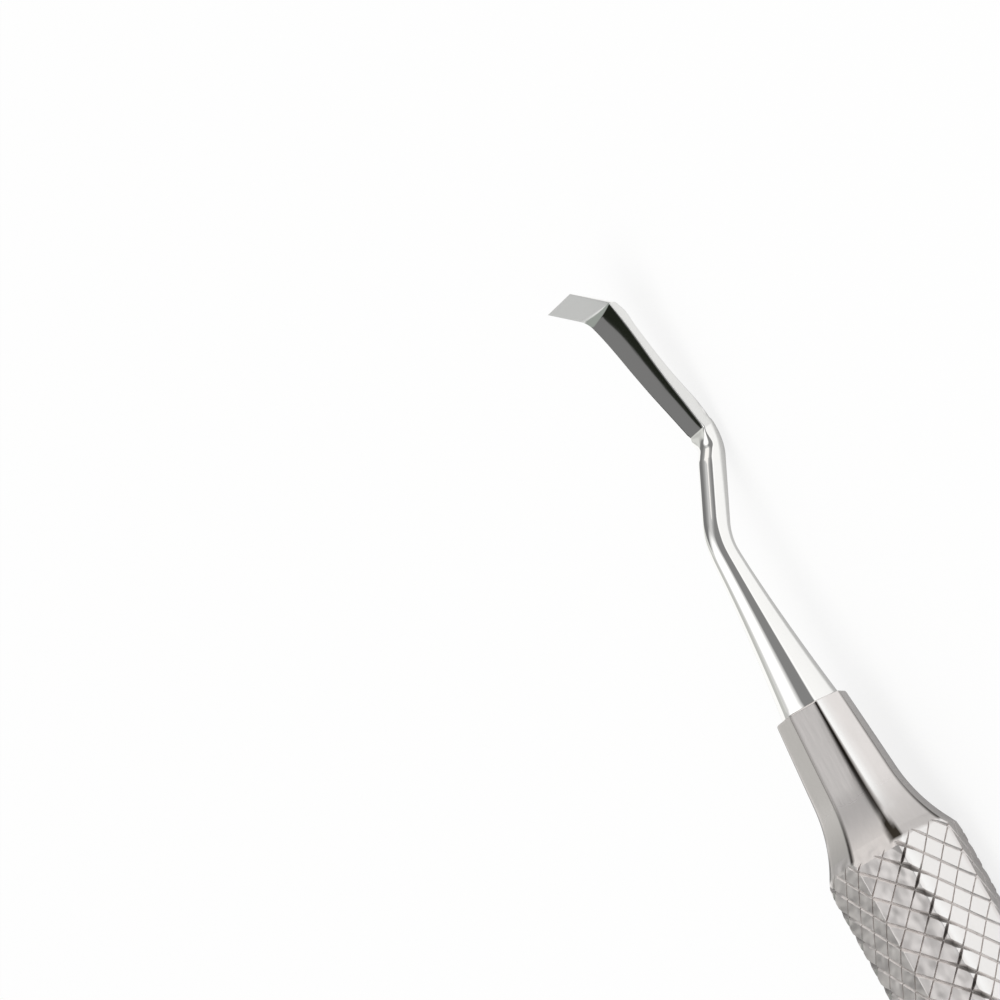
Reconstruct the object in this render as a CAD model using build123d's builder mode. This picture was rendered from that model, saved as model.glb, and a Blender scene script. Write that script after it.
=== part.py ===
"""Double-ended dental hand instrument with a flat bent blade at each end, in millimetres.

A solid octagonal steel bar is the handle. Each end of it is ground down to a flared collar and bored for the tang
of a working end, which is brazed in. A working end is one forging: tang, tapering shank, cranked neck, flat blade
and a short foot with a straight cutting edge.

The handle lies along X on one of its wide flats, with Z up. All bends are in the XZ plane. The foot of the front
working end (+X) points up, and the rear one is the same forging turned half a turn about the Y axis of the handle.
"""

import os
from math import cos, radians, sin, tan

from build123d import *

os.makedirs("parts", exist_ok=True)

# Handle bar
handle_length = 116.0  # from one collar mouth to the other
wide_across_flats = 8.0  # over the four wide flats
narrow_across_flats = 8.4  # over the four narrow flats, as a square turned by 45 degrees
mouth_across_flats = 4.42  # regular octagon at each collar mouth
collar_taper_length = 5.5  # straight part of a collar facet, from the mouth
collar_taper_angle = 4.7  # its slope to the handle axis, in degrees
grinding_wheel_radius = 11.0  # hollow flare from the taper up to the flats
mouth_edge_break = 0.12  # chamfer round the mouth

# Socket in each collar, and the tang and root that fit it
tang_diameter = 3.2
tang_length = 12.0  # from the mouth to the tang's end
tang_chamfer = 0.3
seat_diameter = 3.86  # root of the shank, seated in the mouth
seat_depth = 1.6
socket_gap = 0.03  # radial gap for the braze alloy, also left past the tang's end
drill_point_angle = 118.0
braze_groove_depth = 5.0  # from the mouth to the near side of the groove
braze_groove_width = 1.0
braze_ring_thickness = 0.4  # from the tang out to the groove's floor

# Shank and neck of a working end
shank_length = 11.6  # from the mouth to the first bend
shank_middle = 5.0  # where the hollow taper's middle diameter is measured
shank_middle_diameter = 2.64
neck_diameter = 1.72
neck_angle = 28.0  # downwards from the handle axis
neck_length = 7.0  # from the first bend to the second
first_bend_radius = 5.0
second_bend_radius = 3.6

# Blade and foot, measured along the blade from the second bend
blade_angle = 13.0  # upwards from the handle axis
blade_length = 10.0  # from the second bend to the crease
blade_face_height = 0.55  # flat face over the line through the second bend
blade_face_crown = 0.08  # the face's slight bow
blade_root = 2.0  # where the flat face begins, past the blend from the round neck
blade_root_thickness = 0.88
blade_root_rounding = 0.2
blade_waist = 5.0  # where the hollow back is measured
blade_waist_thickness = 0.6
blade_heel = 8.3  # where the back turns up into the foot
blade_heel_thickness = 0.48
blade_root_width = 2.06
blade_heel_width = 3.2
foot_turn = 43.6  # from the blade's face to the foot's face
foot_length = 2.64  # from the crease to the cutting edge
foot_thickness = 0.22  # beside the crease
edge_land = 0.04  # thickness left at the cutting edge
edge_width = 3.25

# Places worked out from the sizes above
axis_height = wide_across_flats / 2
mouth_x = handle_length / 2
handle_axis = Axis((0, 0, axis_height), (1, 0, 0))
turnover_axis = Axis((0, 0, axis_height), (0, 1, 0))
ends = {"front": 1, "rear": -1}


def side_plane(sign):
    """Upright plane at a collar mouth: local x leaves the handle along its axis, local y is up."""
    return Plane(origin=(sign * mouth_x, 0, axis_height), x_dir=(sign, 0, 0), z_dir=(0, -sign, 0))


# Handle bar: octagonal stock, eight ground facets at each end, and a stepped socket in each collar
flare_start = (-collar_taper_length, mouth_across_flats / 2 + collar_taper_length * tan(radians(collar_taper_angle)))
flare_turn = 40.0  # degrees of wheel contact, which carries the flare past every flat
waste_top = narrow_across_flats  # clear above every flat
waste_end = mouth_edge_break + 1.0  # clear beyond the mouth
socket_radius = tang_diameter / 2 + socket_gap
seat_radius = seat_diameter / 2 + socket_gap
socket_depth = tang_length + socket_gap
groove_radius = tang_diameter / 2 + braze_ring_thickness
drill_point_length = socket_radius / tan(radians(drill_point_angle / 2))
groove_end_depth = braze_groove_depth + braze_groove_width

with BuildPart() as handle_bar:
    with BuildSketch(Plane(origin=(-mouth_x, 0, axis_height), x_dir=(0, 1, 0), z_dir=(1, 0, 0))):
        Rectangle(wide_across_flats, wide_across_flats)
        Rectangle(narrow_across_flats, narrow_across_flats, rotation=45, mode=Mode.INTERSECT)
    extrude(amount=handle_length)
    for sign in ends.values():
        for facet in range(8):
            with BuildSketch(side_plane(sign).rotated((45 * facet, 0, 0))):
                with BuildLine():
                    taper = Line((0, mouth_across_flats / 2), flare_start)
                    flare = JernArc(flare_start, taper % 1, grinding_wheel_radius, -flare_turn)
                    Polyline(
                        flare @ 1,
                        ((flare @ 1).X, waste_top),
                        (waste_end, waste_top),
                        (waste_end, mouth_across_flats / 2),
                        taper @ 0,
                    )
                make_face()
            extrude(amount=narrow_across_flats, both=True, mode=Mode.SUBTRACT)
        with BuildSketch(side_plane(sign)):
            with BuildLine():
                Polyline(
                    (0, 0),
                    (0, seat_radius),
                    (-seat_depth, seat_radius),
                    (-seat_depth, socket_radius),
                    (-braze_groove_depth, socket_radius),
                    (-braze_groove_depth, groove_radius),
                    (-groove_end_depth, groove_radius),
                    (-groove_end_depth, socket_radius),
                    (-socket_depth, socket_radius),
                    (-socket_depth - drill_point_length, 0),
                    close=True,
                )
            make_face()
        revolve(axis=handle_axis, mode=Mode.SUBTRACT)
        mouth_face = handle_bar.faces().sort_by(Axis.X)[-1 if sign > 0 else 0]
        chamfer(mouth_face.edges().filter_by(GeomType.LINE), length=mouth_edge_break)
handle_bar.part.label = "handle_bar"
export_step(handle_bar.part, "parts/handle_bar.step")

# Braze rings: the alloy preform that fills the groove round each tang
for end, sign in ends.items():
    with BuildPart() as braze_ring:
        with BuildSketch(Plane(origin=(sign * (mouth_x - braze_groove_depth), 0, axis_height), z_dir=(-sign, 0, 0))):
            Circle(groove_radius)
            Circle(tang_diameter / 2, mode=Mode.SUBTRACT)
        extrude(amount=braze_groove_width)
    braze_ring.part.label = f"braze_ring_{end}"
    export_step(braze_ring.part, f"parts/braze_ring_{end}.step")

# Blade and foot: a side outline with its hollow back, cut to its plan shape
second_bend = Vector(
    mouth_x + shank_length + neck_length * cos(radians(neck_angle)),
    0,
    axis_height - neck_length * sin(radians(neck_angle)),
)
blade_direction = Vector(cos(radians(blade_angle)), 0, sin(radians(blade_angle)))
blade_side = Plane(origin=second_bend, x_dir=blade_direction, z_dir=(0, -1, 0))
blade_plan = Plane(origin=second_bend, x_dir=blade_direction, z_dir=blade_side.y_dir)
neck_radius = neck_diameter / 2
crease = Vector(blade_length, blade_face_height)
foot_direction = Vector(cos(radians(foot_turn)), sin(radians(foot_turn)))
foot_back = Vector(sin(radians(foot_turn)), -cos(radians(foot_turn)))  # square to the foot, away from its face
cutting_edge = crease + foot_direction * foot_length
foot_heel = crease + foot_direction * foot_thickness + foot_back * foot_thickness
face_middle = Vector((blade_root + blade_length) / 2, blade_face_height + blade_face_crown)
back_root = Vector(blade_root, blade_face_height - blade_root_thickness)
back_waist = Vector(blade_waist, blade_face_height - blade_waist_thickness)
back_heel = Vector(blade_heel, blade_face_height - blade_heel_thickness)

with BuildPart() as blade:
    with BuildSketch(blade_side):
        with BuildLine():
            ThreePointArc((blade_root, blade_face_height), face_middle, crease)
            Polyline(crease, cutting_edge, cutting_edge + foot_back * edge_land, foot_heel)
            Spline(foot_heel, back_heel, tangents=(-foot_direction, (-1, 0)))
            ThreePointArc(back_heel, back_waist, back_root)
            Line(back_root, (blade_root, blade_face_height))
        make_face()
    extrude(amount=edge_width, both=True)
    with BuildSketch(blade_plan):
        with BuildLine():
            Polyline(
                (blade_root, -blade_root_width / 2),
                (blade_length, -blade_heel_width / 2),
                (cutting_edge.X, -edge_width / 2),
                (cutting_edge.X + edge_width, -edge_width / 2),
                (cutting_edge.X + edge_width, edge_width / 2),
                (cutting_edge.X, edge_width / 2),
                (blade_length, blade_heel_width / 2),
                (blade_root, blade_root_width / 2),
                close=True,
            )
        make_face()
    extrude(amount=blade_length, both=True, mode=Mode.INTERSECT)

# Working ends: the front one is built in place, the rear one is the same forging turned over
shank_end = shank_length - first_bend_radius * tan(radians(neck_angle / 2))
shank_tip = Vector(mouth_x + shank_end, 0, axis_height)
neck_direction = Vector(cos(radians(neck_angle)), 0, -sin(radians(neck_angle)))
neck_start = shank_tip + first_bend_radius * Vector(sin(radians(neck_angle)), 0, cos(radians(neck_angle)) - 1)
second_tangent = second_bend_radius * tan(radians((neck_angle + blade_angle) / 2))
neck_end = second_bend - neck_direction * second_tangent
blade_start = second_bend + blade_direction * second_tangent
blade_root_middle = blade_side.from_local_coords(Vector(blade_root, blade_face_height - blade_root_thickness / 2))
with BuildPart() as working_end:
    with BuildSketch(side_plane(1)):
        with BuildLine():
            Polyline(
                (shank_end, neck_radius),
                (shank_end, 0),
                (-tang_length, 0),
                (-tang_length, tang_diameter / 2 - tang_chamfer),
                (-tang_length + tang_chamfer, tang_diameter / 2),
                (-seat_depth + socket_gap, tang_diameter / 2),
                (-seat_depth + socket_gap, seat_diameter / 2),
                (0, seat_diameter / 2),
            )
            ThreePointArc(
                (0, seat_diameter / 2), (shank_middle, shank_middle_diameter / 2), (shank_end, neck_radius)
            )
        make_face()
    revolve(axis=handle_axis)
    with BuildLine() as neck_line:
        TangentArc(shank_tip, neck_start, tangent=(1, 0, 0))
        Line(neck_start, neck_end)
        TangentArc(neck_end, blade_start, tangent=neck_direction)
    with BuildSketch(Plane(origin=shank_tip, z_dir=(1, 0, 0))):
        Circle(neck_radius)
    sweep(path=neck_line.line)
    with BuildSketch(Plane(origin=blade_start, x_dir=(0, 1, 0), z_dir=blade_direction)):
        Circle(neck_radius)
    with BuildSketch(Plane(origin=blade_root_middle, x_dir=(0, 1, 0), z_dir=blade_direction)):
        RectangleRounded(blade_root_width, blade_root_thickness, blade_root_rounding)
    loft()
    add(blade.part)

forgings = {"front": working_end.part, "rear": working_end.part.rotate(turnover_axis, 180)}
for end, forging in forgings.items():
    forging.label = f"working_end_{end}"
    export_step(forging, f"parts/working_end_{end}.step")
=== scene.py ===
"""Looks of a double-ended dental hand instrument with a knurled handle and a bent flat blade at each end.

The handle lies along X. Sizes are in millimetres here and go into the meshes in metres.
"""

from collections import namedtuple
from math import acos, asin, atan2, cos, degrees, floor, pi, radians, sin, sqrt, tan

import bpy
from mathutils import Matrix, Vector


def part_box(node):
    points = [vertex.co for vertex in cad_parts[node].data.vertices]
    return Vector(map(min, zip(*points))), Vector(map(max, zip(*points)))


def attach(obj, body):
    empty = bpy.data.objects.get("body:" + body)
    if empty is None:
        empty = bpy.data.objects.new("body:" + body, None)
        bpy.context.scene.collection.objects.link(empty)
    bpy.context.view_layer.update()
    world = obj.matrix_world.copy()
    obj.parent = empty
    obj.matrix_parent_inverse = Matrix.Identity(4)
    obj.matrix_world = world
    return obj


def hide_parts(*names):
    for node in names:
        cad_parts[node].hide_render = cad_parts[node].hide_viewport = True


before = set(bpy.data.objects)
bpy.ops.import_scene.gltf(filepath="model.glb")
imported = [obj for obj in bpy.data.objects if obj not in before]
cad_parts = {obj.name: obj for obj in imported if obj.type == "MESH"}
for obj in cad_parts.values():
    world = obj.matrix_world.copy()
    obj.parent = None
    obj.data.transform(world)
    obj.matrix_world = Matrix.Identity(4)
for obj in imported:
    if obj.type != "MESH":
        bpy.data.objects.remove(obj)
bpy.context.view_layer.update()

MM = 0.001

# Where the handle's mouths and axis are
handle_low, handle_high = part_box("handle_bar")
mouth_x = handle_high.x / MM
axis_z = (handle_low.z + handle_high.z) / 2 / MM


# ---------------------------------------------------------------- working on a piece

def new_piece(name):
    """The object that an operator has just added, under its own name."""
    piece = bpy.context.active_object
    piece.name = piece.data.name = name
    return piece


def deselect():
    bpy.ops.object.select_all(action="DESELECT")


def pick(piece):
    """Selects this piece and no other."""
    deselect()
    piece.select_set(True)
    bpy.context.view_layer.objects.active = piece


def edit(piece):
    pick(piece)
    bpy.ops.object.mode_set(mode="EDIT")


def done():
    bpy.ops.object.mode_set(mode="OBJECT")


def edit_open_edges(piece):
    """Starts editing with only the open edges selected."""
    edit(piece)
    bpy.ops.mesh.select_mode(type="EDGE")
    bpy.ops.mesh.select_all(action="DESELECT")
    bpy.ops.mesh.select_non_manifold(extend=False, use_boundary=True, use_wire=False, use_multi_face=False,
                                     use_non_contiguous=False, use_verts=False)


def apply_modifier(piece, kind, **settings):
    pick(piece)
    modifier = piece.modifiers.new(kind.title(), kind)
    for key, value in settings.items():
        setattr(modifier, key, value)
    bpy.ops.object.modifier_apply(modifier=modifier.name)


def outward(piece):
    """Merges doubles and turns every face outwards."""
    edit(piece)
    bpy.ops.mesh.select_all(action="SELECT")
    bpy.ops.mesh.remove_doubles(threshold=0.0005)
    bpy.ops.mesh.normals_make_consistent(inside=False)
    done()


def smooth(piece, angle):
    pick(piece)
    bpy.ops.object.shade_smooth_by_angle(angle=radians(angle))


def into_metres(piece, turn=Matrix.Identity(4)):
    piece.data.transform(Matrix.Scale(MM, 4) @ turn)
    piece.data.update()


def ease(a, b, x):
    """0 up to a, 1 from b on, and a soft rise between."""
    s = min(1.0, max(0.0, (x - a) / (b - a)))
    return s * s * (3 - 2 * s)


# ---------------------------------------------------------------- handle

# Octagonal bar with four wide and four narrow flats
wide_apothem = 4.0  # from the axis to a wide flat
narrow_apothem = 4.2
bar_rounding = 0.07  # of its corners

# Collars: a straight ground taper from the mouth, then a hollow flare up to the flats
mouth_apothem = 2.21
taper_length = 5.5
taper_angle = radians(4.7)
wheel_radius = 11.0
wheel_limit = 0.75  # sine of the steepest slope that the wheel leaves
past_the_flats = 9.0  # stands for a collar's apothem from there on
mouth_break = 0.12  # chamfer round the mouth

# Sections along the handle, by their depth from the mouth: the chamfer, with how far it is inside the collar and the
# roundings of its two kinds of corner, then the taper, the flare and the knurled bar
chamfer_sections = ((0.0, mouth_break, (0.2, 0.1)), (0.045, 0.035, (0.22, 0.11)))
taper_depths = (mouth_break, mouth_break + 0.03, 0.6, 1.5, 2.5, 3.5, 4.5, taper_length)
flare_step = 0.25
flare_steps = 27  # more than it takes to reach the flats
bar_depths = (11.0, 30.0)

# Socket: depth and radius, from the drill point over the ring's groove and the shank's seat out to the mouth
socket_profile = ((12.9, 0.15), (12.03, 1.63), (6.0, 1.63), (6.0, 2.0), (5.0, 2.0), (5.0, 1.63), (1.6, 1.63),
                  (1.6, 1.96), (0.05, 1.96), (0.0, 2.0))

# A section has five points on each of its eight corners and five across each flat, at these places
flat_places = (0.07, 0.26, 0.5, 0.74, 0.93)
ring_points = 80

# Knurl: sixteen grooves each way at 45 degrees
knurl_starts = 16
knurl_pitch = 1.735
knurl_cells = 58  # along the handle
knurl_depth = 0.125  # of the grooves, under the flats
knurl_pit = 0.12  # more than that at every other corner
knurl_phase = 31.5  # degrees from the -Y flat up to a line of crossings
knurl_crossing = 11.36  # distance of a crossing on that line from the front mouth
sheet_radius = 4.4  # at which the flat sheet of pads is as wide as the bar is round
sheet_weld = 0.005  # gap that closes between neighbouring pads
sheet_end = 60.0  # past the handle, where the sheet's ends are drawn out to
sheet_end_radius = 4.6

# A pad: height over the grooves' floor, and its half lengths along the narrow and the wide grooves
pad_profile = ((0.0, 1.0, 1.0), (0.012, 0.975, 0.965), (0.125, 0.92, 0.83), (0.31, 0.77, 0.64), (0.56, 0.56, 0.42))
# Its eight points, in those half lengths
pad_along_narrow = (1, 1, 1, 0, -1, -1, -1, 0)
pad_along_wide = (1, 0, -1, -1, -1, 0, 1, 1)

# Depths at which the knurl takes over from the collar
pits_start = 8.0
flat_shaded_from = 9.8
collar_paint_end = 9.9


def collar_apothem(depth):
    """Distance from the axis to a ground facet, at a depth from the mouth."""
    if depth <= taper_length:
        return mouth_apothem + depth * tan(taper_angle)
    start = mouth_apothem + taper_length * tan(taper_angle)
    turn = sin(taper_angle) + (depth - taper_length) / wheel_radius
    if turn >= wheel_limit:
        return past_the_flats
    return start + wheel_radius * (cos(taper_angle) - cos(asin(turn)))


def corner_roundings(depth):
    """Roundings of a collar's broad corners, one after each wide flat, and of the fine corners between them."""
    along = min(1.0, max(0.0, depth) / 9.0)
    return 0.28 + 0.85 * along ** 1.4, 0.07 + 0.08 * along


def stock_radius(angle):
    """Distance from the axis to the sharp octagon, at an angle in degrees from the middle of a wide flat."""
    turned = (angle + 45) % 90 - 45
    return min(wide_apothem / cos(radians(turned)), narrow_apothem / cos(radians(45 - abs(turned))))


def broad_corner(angle):
    """1 at the corner that follows a wide flat, 0 from eight degrees off it."""
    return max(0.0, 1 - ((angle % 90 - 25.9) / 8.0) ** 2)


def octagon_ring(wide, narrow, roundings):
    """Points round a section, from the first point of a broad corner on."""
    corners = []
    apothems = [wide, narrow] * 4
    for k in range(8):
        rounding = roundings[k % 2]
        first, last = radians(45 * k), radians(45 * k + 45)
        # the corner's arc has its centre inside both flats by the rounding
        inside, next_inside = apothems[k] - rounding, apothems[(k + 1) % 8] - rounding
        along = (next_inside - inside * cos(pi / 4)) / sin(pi / 4)
        centre_y, centre_z = inside * cos(first) - along * sin(first), inside * sin(first) + along * cos(first)
        angles = [first + (last - first) * i / 4 for i in range(5)]
        corners.append([(centre_y + rounding * cos(a), centre_z + rounding * sin(a)) for a in angles])
    points = []
    for k, corner in enumerate(corners):
        (y0, z0), (y1, z1) = corner[-1], corners[(k + 1) % 8][0]
        points += corner + [(y0 + (y1 - y0) * w, z0 + (z1 - z0) * w) for w in flat_places]
    return points


def circle_ring(radius):
    """A round section, with its points in the directions of an octagon's."""
    ring = octagon_ring(1.0, 1.0, (0.2, 0.2))
    return [(radius * y / sqrt(y * y + z * z), radius * z / sqrt(y * y + z * z)) for y, z in ring]


def handle_stations():
    """(x, ring) from inside the front socket, round the mouth and back to the middle of the handle."""
    stations = [(mouth_x - depth, circle_ring(radius)) for depth, radius in socket_profile]
    for depth, inside, roundings in chamfer_sections:
        apothem = mouth_apothem - inside
        stations.append((mouth_x - depth, octagon_ring(apothem, apothem, roundings)))
    flare_depths = tuple(taper_length + flare_step * i for i in range(1, flare_steps + 1))
    for depth in taper_depths + flare_depths:
        apothem = collar_apothem(depth)
        if apothem > narrow_apothem:
            break
        ring = octagon_ring(min(apothem, wide_apothem), apothem, corner_roundings(depth))
        stations.append((mouth_x - depth, ring))
    bar_ring = octagon_ring(wide_apothem, narrow_apothem, (bar_rounding, bar_rounding))
    return stations + [(mouth_x - depth, bar_ring) for depth in bar_depths] + [(0.0, bar_ring)]


def make_handle_form():
    """The handle without its knurl: a disc extruded once for each station, then drawn to the stations' sections."""
    front = handle_stations()
    stations = front + [(-x, ring) for x, ring in reversed(front[:-1])]
    bpy.ops.mesh.primitive_circle_add(vertices=ring_points, radius=1.0, fill_type="NGON", rotation=(pi / 2, 0, pi / 2))
    bpy.ops.object.transform_apply(rotation=True)
    form = new_piece("handle_form")
    edit(form)
    bpy.ops.mesh.select_all(action="SELECT")
    for _ in stations[1:]:
        bpy.ops.mesh.extrude_region_move(TRANSFORM_OT_translate={"value": (1, 0, 0)})
    done()
    for vertex in form.data.vertices:
        x, ring = stations[round(vertex.co.x)]
        place = round(atan2(vertex.co.z, vertex.co.y) / (2 * pi / ring_points)) % ring_points
        y, z = ring[place]
        vertex.co = (x, -y, z)
    outward(form)
    return form


def make_pads(half_x, half_y):
    """Two knurl pads corner to corner, open underneath."""
    bpy.ops.mesh.primitive_circle_add(vertices=8, radius=1.0, fill_type="NGON")
    pads = new_piece("knurl")
    edit(pads)
    bpy.ops.mesh.select_all(action="SELECT")
    for _ in pad_profile[1:]:
        bpy.ops.mesh.extrude_region_move(TRANSFORM_OT_translate={"value": (0, 0, 1)})
    bpy.ops.mesh.select_all(action="DESELECT")
    done()
    for vertex in pads.data.vertices:
        height, narrow, wide = pad_profile[round(vertex.co.z)]
        place = round(atan2(vertex.co.y, vertex.co.x) / (pi / 4)) % 8
        one_way, other_way = pad_along_narrow[place] * narrow, pad_along_wide[place] * wide
        vertex.co = ((one_way + other_way) / 2 * half_x, (one_way - other_way) / 2 * half_y, height)
    # the disc that the extrusions started from is the underside, and goes
    for polygon in pads.data.polygons:
        polygon.select = all(pads.data.vertices[i].co.z < 1e-6 for i in polygon.vertices)
    edit(pads)
    bpy.ops.mesh.delete(type="FACE")
    bpy.ops.mesh.select_all(action="SELECT")
    bpy.ops.mesh.duplicate_move(TRANSFORM_OT_translate={"value": (half_x, half_y, 0)})
    done()
    return pads


def repeat(piece, count, step):
    """Copies in a row, grown together where they meet."""
    apply_modifier(piece, "ARRAY", count=count, use_relative_offset=False, use_constant_offset=True,
                   constant_offset_displace=step, use_merge_vertices=True, merge_threshold=sheet_weld)


def draw_out_ends(knurl):
    """Draws both open ends of the knurl out past the handle, and closes them."""
    edit_open_edges(knurl)
    bpy.ops.mesh.extrude_edges_move(TRANSFORM_OT_translate={"value": (0, 0, 0)})
    done()
    for vertex in knurl.data.vertices:
        if vertex.select:
            vertex.co.x = sheet_end if vertex.co.x > 0 else -sheet_end
            spread = sheet_end_radius / sqrt(vertex.co.y ** 2 + vertex.co.z ** 2)
            vertex.co.y *= spread
            vertex.co.z *= spread
    for side in (-1, 1):
        edit(knurl)
        bpy.ops.mesh.select_all(action="DESELECT")
        bpy.ops.mesh.select_mode(type="VERT")
        done()
        for vertex in knurl.data.vertices:
            vertex.select = vertex.co.x * side > sheet_end - 0.1
        edit(knurl)
        bpy.ops.mesh.edge_face_add()
        done()


def make_knurl():
    """A closed tube of knurl pads, longer than the handle."""
    half_x, half_y = knurl_pitch / 2, 2 * pi / knurl_starts * sheet_radius / 2
    knurl = make_pads(half_x, half_y)
    repeat(knurl, knurl_cells, (knurl_pitch, 0, 0))
    repeat(knurl, knurl_starts, (0, 2 * half_y, 0))
    # the sheet is bent round the bar, with its pads half a pitch from the crossings
    first = mouth_x - knurl_crossing - knurl_pitch / 2
    shift = floor((first + knurl_cells * knurl_pitch / 2) / knurl_pitch) * knurl_pitch
    for vertex in knurl.data.vertices:
        x, y, height = vertex.co
        angle = radians(knurl_phase) + y / sheet_radius
        turned = degrees(angle)
        radius = stock_radius(turned) - knurl_depth - knurl_pit * broad_corner(turned) + height
        vertex.co = (first - shift + x, -radius * cos(angle), radius * sin(angle))
    outward(knurl)
    draw_out_ends(knurl)
    outward(knurl)
    return knurl


def painted_corner_shade(depth, place):
    """Painted dark reflection along a broad corner, with painted shade spreading beside it. The place is across it, in
    half widths of its rounding.
    """
    swell = max(0.0, 1 - ((depth - 2.8) / 2.4) ** 2)
    slim = 1 - ease(4.0, 7.4, depth)
    shares = ((-0.7, 0.0), (-0.3, 0.5), (0.3, 1.0), (0.8, 0.75 + 0.25 * slim), (1.3, 0.4 * slim + 0.3 * swell),
              (2.6, 0.2 * swell))
    line = next((share for limit, share in shares if place < limit), 0.0)
    # towards the knurl the painted shade opens into a wedge
    foot = ease(7.4, 8.2, depth)
    spread = 0.1 + 0.55 * ease(7.8, 9.7, depth)
    wedge = min(1.0, max(0.0, (spread + 0.5 - abs(place - 0.1)) / 0.5))
    return line * (1 - foot) + wedge * foot


def collar_painted_light(depth, angle, apothem):
    """Painted light on a collar: painted dark reflections along its corners, a painted highlight line beside some of
    them and painted shade on the feet of its facets.
    """
    broad, fine = corner_roundings(depth)
    off_corner = angle % 90 % 45 - 22.5
    off_side, off_top = abs((angle + 90) % 180 - 90), abs(angle % 180 - 90)
    # painted shade on the feet of the side and top flats, growing towards the knurl
    painted_foot_shade = 0.24 * (off_side < 22) * ease(5.0, 9.3, depth) + 0.18 * (off_top < 22) * ease(5.5, 9.5, depth)
    if angle % 90 < 45:
        place = off_corner / degrees(broad * tan(pi / 8) / apothem)
        # painted highlight line beside the broad corner on the side flats
        bright = 0.0
        if angle % 180 < 45 and -6.5 < place < -0.7:
            bright = (1.0 if place > -2.2 else 0.3) * (1 - ease(6.0, 8.6, depth))
        return max(painted_corner_shade(depth, place), painted_foot_shade), bright
    # painted dark reflection along the fine corners
    if abs(off_corner) < degrees(fine * tan(pi / 8) / apothem) + 0.1:
        return 0.55 + 0.35 * ease(6.0, 9.5, depth), 0.0
    return painted_foot_shade, 0.0


def knurl_painted_light(depth, angle, radius):
    """Painted light on the knurl: painted shade in the pits along the broad corners, and painted highlights on the
    pads of the side flats and corners.
    """
    sunk = stock_radius(angle) - radius
    # painted shade in the grooves' pits
    if sunk > 0.1 and collar_apothem(depth) > radius + 0.05:
        return 0.78 * broad_corner(angle) * min(1.0, sunk / 0.25), 0.0
    # painted highlights on the pads
    if depth > collar_paint_end and sunk < 0.06:
        on_side_flat, on_corner = abs((angle + 90) % 180 - 90) < 23, abs(angle % 180 - 22.5) < 4
        return 0.0, 0.55 * on_side_flat + 0.45 * on_corner
    return 0.0, 0.0


def paint_light_on_handle(piece):
    """Attributes, from 0 to 1, of painted shade and painted highlight, which the steel's colour follows."""
    painted_shade = piece.data.attributes.new("painted_shade", "FLOAT", "POINT")
    painted_highlight = piece.data.attributes.new("painted_highlight", "FLOAT", "POINT")
    for vertex in piece.data.vertices:
        x, y, z = vertex.co
        depth, radius, angle = mouth_x - abs(x), sqrt(y * y + z * z), degrees(atan2(z, -y))
        dark, bright = knurl_painted_light(depth, angle, radius) if depth > pits_start else (0.0, 0.0)
        apothem = min(collar_apothem(max(depth, 0.0)), wide_apothem)
        if 0.05 <= depth <= collar_paint_end and radius >= apothem - 0.05:
            dark, bright = collar_painted_light(depth, angle, apothem)
        painted_shade.data[vertex.index].value = dark
        painted_highlight.data[vertex.index].value = bright


def make_handle():
    form = make_handle_form()
    knurl = make_knurl()
    apply_modifier(knurl, "BOOLEAN", operation="INTERSECT", object=form, solver="MANIFOLD")
    knurl.name = knurl.data.name = "handle"
    bpy.data.objects.remove(form)
    paint_light_on_handle(knurl)
    knurl.data.transform(Matrix.Translation((0, 0, axis_z)))
    into_metres(knurl)
    smooth(knurl, 28)
    for polygon in knurl.data.polygons:
        polygon.use_smooth = abs(polygon.center.x) > (mouth_x - flat_shaded_from) * MM
    return knurl


# ---------------------------------------------------------------- working ends

# Places are in the plane of the bends: distance from the mouth, and height over the handle's axis
bend_1 = Vector((11.6, 0.0))
bend_1_radius = 5.0
neck_angle = radians(28)
neck_length = 7.0
neck_radius = 0.86
neck_left = 1.9  # of its length, from where its top dips towards the blade
blade_angle = radians(13)
bend_1_reach = bend_1_radius * tan(neck_angle / 2)
neck_way = Vector((cos(neck_angle), -sin(neck_angle)))
neck_up = Vector((sin(neck_angle), cos(neck_angle)))
bend_2 = bend_1 + neck_way * neck_length
blade_way = Vector((cos(blade_angle), sin(blade_angle)))
blade_up = Vector((-sin(blade_angle), cos(blade_angle)))

# Tang and seat: distance from the mouth, and radius
tang_profile = ((-12.0, 1.3), (-11.7, 1.6), (-6.0, 1.6), (-1.57, 1.6), (-1.57, 1.93), (-0.7, 1.93), (0.0, 1.93))

# Shank: a hollow taper from the mouth to the neck
shank_swell = 1.07  # its radius over the neck's, at the mouth
shank_taper = 11.5
shank_hollow = 1.42

# Blade, measured along it from the second bend and up from the line through that bend
blade_root = (0.597, 0.62)
root_half_width = 1.0
face_heights = ((0.6, 0.62), (2.4, 0.615), (4.2, 0.62), (6.0, 0.57), (7.4, 0.50), (8.7, 0.475), (9.98, 0.52))
thicknesses = ((0.6, 1.0), (1.06, 0.97), (1.9, 0.84), (2.8, 0.74), (4.56, 0.6), (6.45, 0.5), (7.95, 0.46), (8.8, 0.53))
back_start, back_end = 0.68, 9.35
squared_from = 2.6  # the underside is as square as the top from here on
squaring_length = 2.6  # and turns from round to square over this length

# Second bend: the floor of its dip, back and down from the blade's root, and the fillets of its lines
dip_back, dip_down = 1.05, 0.13
dip_fillet, root_fillet, underside_fillet = 1.2, 0.16, 3.0

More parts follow.
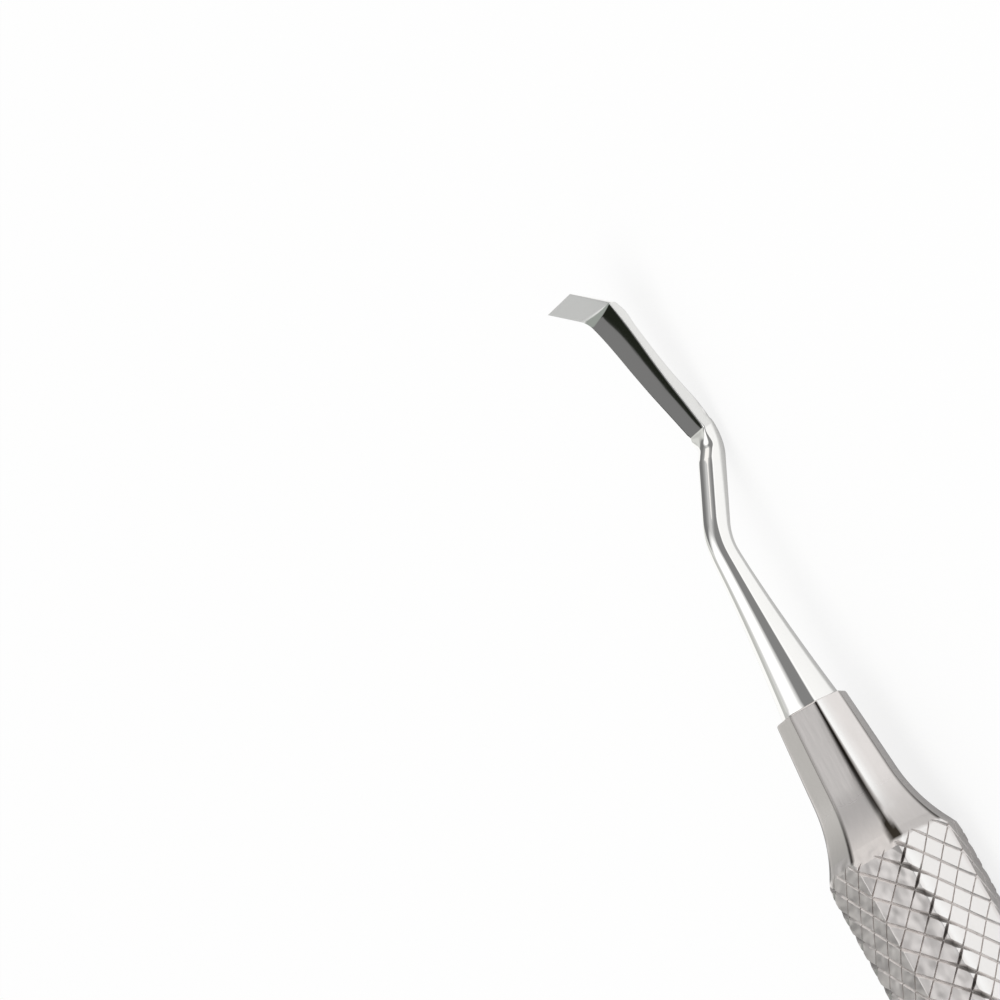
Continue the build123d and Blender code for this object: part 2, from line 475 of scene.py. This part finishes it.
# Foot
foot_turn = radians(43.6)
foot_length = 2.64
foot_half_width = 1.602
edge_land = 0.04
foot_way = Vector((cos(foot_turn), sin(foot_turn)))
foot_out = Vector((sin(foot_turn), -cos(foot_turn)))  # away from its face
before_crease = Vector((9.0, 0.475))
crease = Vector((9.98, 0.525))
heel = Vector((9.80, 0.09))
crease_fillets = (0.14, 1.5)  # sharp on the -Y side, and wider on the +Y side
heel_fillet = 0.45
crease_hollow = 0.065  # of the face, across it
crease_twist = -0.8  # of the face, in degrees

# Sections in each stretch, and points in a section
shank_steps, bend_1_steps, neck_steps, bend_2_steps, root_steps, blade_steps, foot_steps = 26, 12, 10, 18, 7, 44, 14
section_places = 52

# near and far are the top on the -Y and on the +Y side. Squareness goes from 0, round, to 1, and ground is how matt
# the top is. The top is hollow across its middle and twisted by an angle in degrees.
Section = namedtuple("Section", "near far bottom half_width squareness rounding ground hollow twist")


def through(table, x):
    """Smooth value between the rows of a table."""
    last = len(table) - 1
    if x <= table[0][0]:
        return table[0][1]
    if x >= table[last][0]:
        return table[last][1]
    i = max(k for k in range(last) if table[k][0] <= x)
    (x0, y0), (x1, y1) = table[i], table[i + 1]
    before, after = table[max(i - 1, 0)], table[min(i + 2, last)]
    m0 = (y1 - before[1]) / (x1 - before[0])
    m1 = (after[1] - y0) / (after[0] - x0)
    h, s = x1 - x0, (x - x0) / (x1 - x0)
    return ((2 * s ** 3 - 3 * s * s + 1) * y0 + (s ** 3 - 2 * s * s + s) * h * m0
            + (3 * s * s - 2 * s ** 3) * y1 + (s ** 3 - s * s) * h * m1)


def on_blade(u, v):
    """Place at u along the blade and v up from it."""
    return bend_2 + blade_way * u + blade_up * v


def along_blade(place):
    return (place - bend_2).dot(blade_way)


def rounded_turn(start, corner, end, radius, count):
    """Points along a fillet between two straight runs, both ends included."""
    into, out = (corner - start).normalized(), (end - corner).normalized()
    turn = acos(max(-1.0, min(1.0, into.dot(out))))
    side = 1.0 if into.x * out.y - into.y * out.x > 0 else -1.0
    first = corner - into * radius * tan(turn / 2)
    centre = first + Vector((-into.y, into.x)) * radius * side
    arm = first - centre
    points = []
    for i in range(count + 1):
        a = side * turn * i / count
        points.append(centre + Vector((arm.x * cos(a) - arm.y * sin(a), arm.x * sin(a) + arm.y * cos(a))))
    return points


def line_length(points):
    return sum((b - a).length for a, b in zip(points, points[1:]))


def at_share(points, share):
    """Point at a share of the way along a line of points."""
    left = share * line_length(points)
    for a, b in zip(points, points[1:]):
        step = (b - a).length
        if left <= step:
            return a.lerp(b, left / step)
        left -= step
    return points[-1]


def shank_radius(x):
    return neck_radius + shank_swell * max(0.0, 1 - x / shank_taper) ** shank_hollow


def round_section(centre, up, radius):
    return Section(centre + up * radius, centre + up * radius, centre - up * radius, radius, 0.0, 0.1, 0.0, 0.0, 0.0)


def shank_and_neck():
    """Round sections from the tang's end to where the second bend starts."""
    up = Vector((0, 1))
    arc_start = bend_1.x - bend_1_reach
    sections = [round_section(Vector((x, 0)), up, radius) for x, radius in tang_profile]
    for i in range(1, shank_steps + 1):
        x = arc_start * i / shank_steps
        sections.append(round_section(Vector((x, 0)), up, shank_radius(x)))
    for i in range(1, bend_1_steps + 1):
        a = neck_angle * i / bend_1_steps
        centre = Vector((arc_start + bend_1_radius * sin(a), bend_1_radius * (cos(a) - 1)))
        sections.append(round_section(centre, Vector((sin(a), cos(a))), shank_radius(arc_start + bend_1_radius * a)))
    for i in range(1, neck_steps + 1):
        s = bend_1_reach + (neck_length - neck_left - bend_1_reach) * i / neck_steps
        sections.append(round_section(bend_1 + neck_way * s, neck_up, neck_radius))
    return sections


def second_bend():
    """Round to square: the neck's top dips and comes up again in a short flat to the root of the blade's face."""
    top_start = bend_2 - neck_way * neck_left + neck_up * neck_radius
    bottom_start = bend_2 - neck_way * neck_left - neck_up * neck_radius
    root = on_blade(*blade_root)
    dip = root - neck_way * dip_back - neck_up * dip_down
    root_turn = rounded_turn(dip, root, on_blade(3, blade_root[1]), root_fillet, root_steps)
    top_line = [top_start] + rounded_turn(top_start, dip, root, dip_fillet, 8) + root_turn
    bottom_line = [bottom_start] + rounded_turn(bottom_start, on_blade(-0.629, -0.593), on_blade(1.0, -0.43),
                                                underside_fillet, 16)
    turn_share = line_length(root_turn) / line_length(top_line)
    shares = [(1 - turn_share) * i / bend_2_steps for i in range(1, bend_2_steps)]
    shares += [1 - turn_share * (1 - i / root_steps) for i in range(root_steps + 1)]
    sections = []
    for s in shares:
        top = at_share(top_line, s)
        half_width = neck_radius + (root_half_width - neck_radius) * ease(0.35, 1.0, s)
        sections.append(Section(top, top, at_share(bottom_line, s), half_width, ease(0.35, 0.93, s), 0.12, 0.0,
                                0.02 * ease(0.8, 1.0, s), 0.0))
    return sections


def blade_sections(first, near_end, far_end):
    """Square sections from the root to the crease, whose face grows wider, more hollow and more twisted."""
    sections = []
    for i in range(1, blade_steps):
        s = i / blade_steps
        near, far = (first + (along_blade(end) - first) * s for end in (near_end, far_end))
        under = back_start + (back_end - back_start) * s
        back = through(face_heights, under) - through(thicknesses, under)
        growth = (near / 10) ** 1.5
        sections.append(Section(on_blade(near, through(face_heights, near)), on_blade(far, through(face_heights, far)),
                                on_blade(under, back), root_half_width + 0.0637 * (near - 0.55), 1.0, 0.045, 0.0,
                                0.020 + 0.045 * growth, -0.1 - 0.7 * growth))
    return sections


def working_end_sections():
    """Sections from the tang's end to the cutting edge."""
    edge = on_blade(*(crease + foot_way * foot_length))
    edge_back = on_blade(*(crease + foot_way * foot_length + foot_out * edge_land))
    behind_crease = on_blade(*(crease + foot_way * 0.6 + foot_out * 0.2))
    sharp_turn, wide_turn = (rounded_turn(on_blade(*before_crease), on_blade(*crease), edge, radius, foot_steps)
                             for radius in crease_fillets)
    heel_turn = rounded_turn(on_blade(before_crease.x, 0.0), on_blade(*heel), behind_crease, heel_fillet, foot_steps)
    sections = shank_and_neck() + second_bend()
    sections += blade_sections(along_blade(sections[-1].near), sharp_turn[0], wide_turn[0])
    for i, (near, far, bottom) in enumerate(zip(sharp_turn, wide_turn, heel_turn)):
        s = i / foot_steps
        left = 1 - ease(0, 1, s)
        sections.append(Section(near, far, bottom, foot_half_width, 1.0, 0.04, ease(0.55, 1.0, s),
                                crease_hollow * left, crease_twist * left))
    for i in range(1, foot_steps + 1):
        s = i / foot_steps
        sections.append(Section(near.lerp(edge, s), far.lerp(edge, s), bottom.lerp(edge_back, s),
                                foot_half_width + 0.02 * s, 1.0, 0.04 - 0.03 * s, 1.0, 0.0, 0.0))
    return sections


def section_point(place, half_width, half_thick, squareness, rounding):
    """Point of the section at one of its places, counted from +Y over the top."""
    in_quarter = section_places // 4
    quarter, step = divmod(place, in_quarter)
    if quarter % 2:
        step = in_quarter - step
    rounding = min(rounding, half_width, half_thick)
    # two steps up the side, five round the corner and six over the top
    if step <= 2:
        y, z = half_width, (half_thick - rounding) * step / 2
    elif step <= 7:
        a = (step - 2) / 5 * pi / 2
        y, z = half_width - rounding + rounding * cos(a), half_thick - rounding + rounding * sin(a)
    else:
        y, z = (half_width - rounding) * (in_quarter - step) / 6, half_thick
    around = step / in_quarter * pi / 2
    y = half_width * cos(around) * (1 - squareness) + y * squareness
    z = half_thick * sin(around) * (1 - squareness) + z * squareness
    if quarter in (1, 2):
        y = -y
    if quarter in (2, 3):
        z = -z
    return y, z


def make_working_end(name, turn):
    """A forging: a grid with one row for each section, rolled up and closed at both ends."""
    sections = working_end_sections()
    along = len(sections) - 1
    squared_x = on_blade(squared_from, 0.6).x
    bpy.ops.mesh.primitive_grid_add(x_subdivisions=along, y_subdivisions=section_places, size=1)
    piece = new_piece(name)
    ground = piece.data.attributes.new("ground", "FLOAT", "POINT")
    for vertex in piece.data.vertices:
        section = sections[round((vertex.co.x + 0.5) * along)]
        place = round((vertex.co.y + 0.5) * section_places) % section_places
        half_thick = (section.near - section.bottom).length / 2
        squareness = section.squareness
        if place > section_places / 2 and section.near.x < squared_x:
            squareness *= ease(squared_x - squaring_length, squared_x, section.near.x)
        y, z = section_point(place, section.half_width, half_thick, squareness, section.rounding)
        across, rise = y / section.half_width, (z / half_thick + 1) / 2
        top = section.near.lerp(section.far, (across + 1) / 2)
        lift = -section.hollow * (1 - across * across) + y * tan(radians(section.twist))
        spot = section.bottom + (top - section.bottom) * rise
        spot += (top - section.bottom).normalized() * lift * rise
        vertex.co = (mouth_x + spot.x, y, axis_z + spot.y)
        # the foot's face is ground matt, and the sides of the blade are ground finer
        on_side = section.squareness == 1.0 and section.ground < 0.5 and abs(across) > 0.995
        ground.data[vertex.index].value = max(0.46 if on_side else 0.0, section.ground if z > 0 else 0.0)
    outward(piece)
    edit_open_edges(piece)
    bpy.ops.mesh.edge_face_add()
    bpy.ops.mesh.select_all(action="SELECT")
    bpy.ops.mesh.normals_make_consistent(inside=False)
    done()
    into_metres(piece, turn)
    smooth(piece, 24)
    return piece


# ---------------------------------------------------------------- nodes

def node(tree, kind, **settings):
    made = tree.nodes.new(kind)
    for key, value in settings.items():
        setattr(made, key, value)
    return made


def feed(tree, socket, value):
    """Sets a socket to a number or a colour, or links it to another socket."""
    if isinstance(value, tuple):
        socket.default_value = (*value, 1)
    elif isinstance(value, (int, float)):
        socket.default_value = value
    else:
        tree.links.new(value, socket)


def feed_all(tree, made, **values):
    """Feeds sockets by their names, with _ for each space."""
    for name, value in values.items():
        feed(tree, made.inputs[name.replace("_", " ")], value)


def calculated(tree, operation, *values):
    made = node(tree, "ShaderNodeMath", operation=operation)
    for socket, value in zip(made.inputs, values):
        feed(tree, socket, value)
    return made.outputs[0]


def ranged(tree, value, low, high, start=0.0, end=1.0, **settings):
    """Goes from low to high while the value goes from start to end."""
    made = node(tree, "ShaderNodeMapRange", **settings)
    feed_all(tree, made, Value=value, From_Min=start, From_Max=end, To_Min=low, To_Max=high)
    return made.outputs["Result"]


def mixed(tree, share, one, other, kind="RGBA"):
    made = node(tree, "ShaderNodeMix", data_type=kind)
    feed_all(tree, made, Factor=share, A=one, B=other)
    return made.outputs["Result"]


def noise(tree, place, scale, detail):
    made = node(tree, "ShaderNodeTexNoise")
    feed_all(tree, made, Vector=place, Scale=scale, Detail=detail)
    return made.outputs["Fac"]


def grain(tree, place, stretch, detail):
    """Fine lines along the instrument, as grinding and polishing leave them."""
    lines = node(tree, "ShaderNodeMapping")
    lines.inputs["Scale"].default_value = stretch
    feed_all(tree, lines, Vector=place)
    return noise(tree, lines.outputs["Vector"], 1.0, detail)


def attribute(tree, name):
    return node(tree, "ShaderNodeAttribute", attribute_name=name).outputs["Fac"]


def bump(tree, height, strength, distance, **under):
    made = node(tree, "ShaderNodeBump")
    feed_all(tree, made, Height=height, Strength=strength, Distance=distance, **under)
    return made.outputs["Normal"]


def ramped(tree, source, marks):
    """Colour from a ramp of (position, colour)."""
    ramp = node(tree, "ShaderNodeValToRGB")
    while len(ramp.color_ramp.elements) < len(marks):
        ramp.color_ramp.elements.new(0.5)
    for element, (position, colour) in zip(ramp.color_ramp.elements, marks):
        element.position = position
        element.color = (*colour, 1)
    feed_all(tree, ramp, Fac=source)
    return ramp.outputs["Color"]


def split_up(tree, vector):
    split = node(tree, "ShaderNodeSeparateXYZ")
    feed_all(tree, split, Vector=vector)
    return split.outputs["X"], split.outputs["Y"], split.outputs["Z"]


# ---------------------------------------------------------------- finishes

def metal(name):
    """A new metal, its node tree and shader, and the place on the piece."""
    made = bpy.data.materials.new(name)
    made.use_nodes = True
    tree = made.node_tree
    shader = tree.nodes["Principled BSDF"]
    shader.inputs["Metallic"].default_value = 1.0
    return made, tree, shader, node(tree, "ShaderNodeTexCoord").outputs["Object"]


def polished_steel():
    made, tree, shader, place = metal("polished_steel")
    ground = attribute(tree, "ground")
    cloud = noise(tree, place, 260.0, 2.0)
    polished = mixed(tree, cloud, (0.965, 0.96, 0.945), (0.93, 0.925, 0.905))
    lines = grain(tree, place, (300, 2600, 2600), 3.0)
    feed_all(tree, shader,
             Base_Color=mixed(tree, ground, polished, (0.60, 0.60, 0.59)),
             Roughness=mixed(tree, ground, ranged(tree, cloud, 0.025, 0.07), 0.36, kind="FLOAT"),
             Normal=bump(tree, lines, 0.05, 0.00002))
    return made


def handle_steel():
    made, tree, shader, place = metal("handle_steel")
    from_middle = calculated(tree, "ABSOLUTE", split_up(tree, place)[0])
    lines = grain(tree, place, (500, 5000, 5000), 4.0)
    # the flare's foot and the knurl are rougher than the polished taper
    rough = ranged(tree, noise(tree, place, 420.0, 3.0), 0.18, 0.28)
    foot = ranged(tree, from_middle, 0.0, 0.10, (mouth_x - 4.5) * MM, (mouth_x - 9.0) * MM,
                  interpolation_type="SMOOTHSTEP")
    colour = mixed(tree, lines, (0.83, 0.79, 0.775), (0.75, 0.72, 0.70))
    # painted highlight lightens the colour and painted shade darkens it, after the two attributes
    colour = mixed(tree, attribute(tree, "painted_highlight"), colour, (0.97, 0.965, 0.955))
    painted_shade = calculated(tree, "MULTIPLY", attribute(tree, "painted_shade"), 0.98)
    # the knurl's pads are a little uneven
    knurled = ranged(tree, from_middle, 0.0, 1.0, (mouth_x - 9.2) * MM, (mouth_x - 9.8) * MM)
    uneven = calculated(tree, "MULTIPLY", noise(tree, place, 900.0, 1.0), knurled)
    feed_all(tree, shader,
             Base_Color=mixed(tree, painted_shade, colour, (0.025, 0.019, 0.012)),
             Roughness=calculated(tree, "ADD", rough, foot),
             Normal=bump(tree, lines, 0.12, 0.00002, Normal=bump(tree, uneven, 0.8, 0.00013)))
    return made


def braze_alloy():
    made, tree, shader, place = metal("braze_alloy")
    cloud = noise(tree, place, 900.0, 2.0)
    feed_all(tree, shader,
             Base_Color=mixed(tree, cloud, (0.78, 0.66, 0.40), (0.62, 0.50, 0.28)),
             Roughness=ranged(tree, cloud, 0.3, 0.5))
    return made


# ---------------------------------------------------------------- studio

def emission_material(name):
    made = bpy.data.materials.new(name)
    made.use_nodes = True
    tree = made.node_tree
    tree.nodes.clear()
    return made, tree, node(tree, "ShaderNodeOutputMaterial")


def ray_kinds(tree):
    """Whether a ray comes from the camera, a reflection or a transmission."""
    path = node(tree, "ShaderNodeLightPath")
    return path.outputs["Is Camera Ray"], path.outputs["Is Glossy Ray"], path.outputs["Is Transmission Ray"]


def make_floor():
    bpy.ops.mesh.primitive_plane_add(size=24.0, location=(0, 0, 0))
    floor_plane = new_piece("floor")
    made, tree, out = emission_material("pale_floor")
    paint = node(tree, "ShaderNodeBsdfDiffuse")
    glow = node(tree, "ShaderNodeEmission")
    camera_ray, glossy_ray, transmission_ray = ray_kinds(tree)
    # painted shadow: straight under the object the floor glows less in reflections, as if the object shaded it
    x, y, _ = split_up(tree, node(tree, "ShaderNodeTexCoord").outputs["Object"])
    under_handle = ranged(tree, calculated(tree, "ABSOLUTE", x), 1.0, 0.0, (mouth_x - 0.4) * MM, (mouth_x + 0.4) * MM)
    half_width = ranged(tree, under_handle, 1.3 * MM, 4.6 * MM)
    beside = calculated(tree, "SUBTRACT", calculated(tree, "ABSOLUTE", y), half_width)
    outside_painted_shadow = ranged(tree, beside, 0.4, 1.0, 0.0, 1.0 * MM)
    # the paint takes the object's shadow, and the glow keeps the floor pale
    seen = calculated(tree, "MULTIPLY", camera_ray, 0.8)
    mirrored = calculated(tree, "MAXIMUM", glossy_ray, transmission_ray)
    share = calculated(tree, "MULTIPLY_ADD", mirrored, 0.65, seen)
    feed_all(tree, paint, Color=(0.93, 0.93, 0.925))
    feed_all(tree, glow, Color=(1, 1, 1), Strength=calculated(tree, "MAXIMUM", camera_ray, outside_painted_shadow))
    mix = node(tree, "ShaderNodeMixShader")
    for socket, value in zip(mix.inputs, (share, paint.outputs[0], glow.outputs[0])):
        feed(tree, socket, value)
    feed_all(tree, out, Surface=mix.outputs[0])
    floor_plane.data.materials.append(made)


def grey(level, tint=(1, 1, 1)):
    return tuple(level * t for t in tint)


def bearing(angle):
    """Place on a ramp round the studio of an angle in degrees from +Y towards +X."""
    return angle / 360 + 0.5


# The pale wall low down and the softbox overhead, by height, from 0 to 1 at the top
wall_and_softbox = ((0.0, grey(0.93)), (0.5, grey(0.93)), (0.76, grey(0.52)), (0.81, grey(0.60)), (0.88, grey(1.0)),
                    (1.0, grey(1.0)))

# Cards round the set, by bearing, and the heights between which they hang
camera_side, far_card, green, warm = grey(0.20), grey(0.165), (0.92, 1.0, 0.93), (0.99, 1.0, 0.965)
cards = (
    (0.0, camera_side), (bearing(-105), camera_side), (bearing(-85), grey(0.3, green)),
    (bearing(-24), grey(0.3, green)), (bearing(-17), far_card), (bearing(6), far_card),
    (bearing(9), grey(0.47, warm)), (bearing(22), grey(0.47, warm)), (bearing(26), grey(0.60, warm)),
    (bearing(31), grey(0.60, warm)), (bearing(36), far_card), (bearing(58), far_card), (bearing(80), grey(0.30)),
    (bearing(92), grey(0.40)), (bearing(98), grey(0.52)), (bearing(118), grey(0.52)), (bearing(126), grey(0.38)),
    (bearing(140), camera_side), (1.0, camera_side))
card_heights = (0.10, 0.17, 0.72, 0.79)

# What hangs in front of them: bearings, heights and colour
black_card = (-17.5, -16.5, 3, 4.5), (0.20, 0.24, 0.522, 0.530), (0.012, 0.014, 0.010)
strip_box = (6.5, 9, 18, 22), (-0.9, -0.8, 0.43, 0.46), (0.9, 0.9, 0.89)
side_box = (84, 92, 120, 126), (0.12, 0.2, 0.55, 0.575), (0.88, 0.86, 0.84)


def window(tree, source, marks):
    """1 between the two middle marks, 0 outside the outer ones."""
    return ramped(tree, source, tuple(zip(marks, (grey(0.0), grey(1.0), grey(1.0), grey(0.0)))))


def make_dome():
    """Softbox overhead, cards of several greys round the set and a pale wall low down, for the metal to reflect."""
    bpy.ops.mesh.primitive_uv_sphere_add(segments=64, ring_count=32, radius=4.0, location=(0, 0, 0))
    dome = new_piece("studio_dome")
    made, tree, out = emission_material("studio_cards")
    unit = node(tree, "ShaderNodeVectorMath", operation="NORMALIZE")
    feed(tree, unit.inputs[0], node(tree, "ShaderNodeTexCoord").outputs["Object"])
    x, y, height = split_up(tree, unit.outputs[0])
    round_about = ranged(tree, calculated(tree, "ARCTAN2", x, y), 0.0, 1.0, -pi, pi)

    def hang(behind, card):
        bearings, heights, colour = card
        share = calculated(tree, "MULTIPLY", window(tree, round_about, [bearing(b) for b in bearings]),
                           window(tree, height, heights))
        return mixed(tree, share, behind, colour)

    colour = hang(ramped(tree, round_about, cards), black_card)
    colour = mixed(tree, window(tree, height, card_heights), ramped(tree, height, wall_and_softbox), colour)
    colour = hang(hang(colour, strip_box), side_box)
    glow = node(tree, "ShaderNodeEmission")
    feed_all(tree, glow, Color=colour, Strength=1.15)
    feed_all(tree, out, Surface=glow.outputs[0])
    dome.data.materials.append(made)
    dome.visible_camera = False
    dome.visible_diffuse = False
    dome.visible_shadow = False
    dome.visible_transmission = False


def make_lights():
    world = bpy.data.worlds.new("studio")
    bpy.context.scene.world = world
    world.use_nodes = True
    tree = world.node_tree
    # white where it is seen, also in a reflection, and a little less as a light
    camera_ray, glossy_ray, transmission_ray = ray_kinds(tree)
    seen = calculated(tree, "MAXIMUM", calculated(tree, "MAXIMUM", camera_ray, glossy_ray), transmission_ray)
    feed_all(tree, tree.nodes["Background"], Color=(1, 1, 1), Strength=ranged(tree, seen, 0.78, 1.0))
    bpy.ops.object.light_add(type="AREA", location=(-0.2, -0.3, 1.4))
    softbox = bpy.context.active_object
    softbox.name = "softbox"
    softbox.data.size = 1.2
    softbox.data.energy = 7.0
    softbox.rotation_euler = (radians(-10), radians(-6), 0)
    softbox.visible_glossy = False


def make_camera():
    """Camera over the front working end, placed in metres from the front mouth and turned on its own axis."""
    place = Vector((mouth_x * MM - 0.073122, -0.496602, axis_z * MM + 0.328694))
    target = Vector((mouth_x * MM + 0.019247, 0.0, axis_z * MM + 0.012179))
    roll = radians(-113.411)
    bpy.ops.object.camera_add(location=place)
    camera = bpy.context.active_object
    camera.name = "camera"
    look = (target - place).to_track_quat("-Z", "Y").to_matrix() @ Matrix.Rotation(roll, 3, "Z")
    camera.rotation_euler = look.to_euler()
    camera.data.lens = 358.56
    camera.data.sensor_width = 36.0
    camera.data.clip_start = 0.01
    camera.data.clip_end = 50.0
    bpy.context.scene.camera = camera


deselect()
make_camera()
make_floor()
make_dome()
make_lights()

steel = handle_steel()
handle = make_handle()
handle.data.materials.clear()
handle.data.materials.append(steel)
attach(handle, "root")
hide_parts("handle_bar")

# The rear working end is the front one turned over about the Y axis of the handle
polish = polished_steel()
over = Matrix.Translation((0, 0, axis_z)) @ Matrix.Rotation(pi, 4, "Y") @ Matrix.Translation((0, 0, -axis_z))
for end, turn in (("front", Matrix.Identity(4)), ("rear", over)):
    blade = make_working_end(f"working_end_{end}_forging", turn)
    blade.data.materials.clear()
    blade.data.materials.append(polish)
    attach(blade, "root")
    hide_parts(f"working_end_{end}")

brass = braze_alloy()
for end in ("front", "rear"):
    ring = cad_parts[f"braze_ring_{end}"]
    ring.data.materials.clear()
    ring.data.materials.append(brass)

bpy.context.scene.view_settings.view_transform = "Standard"
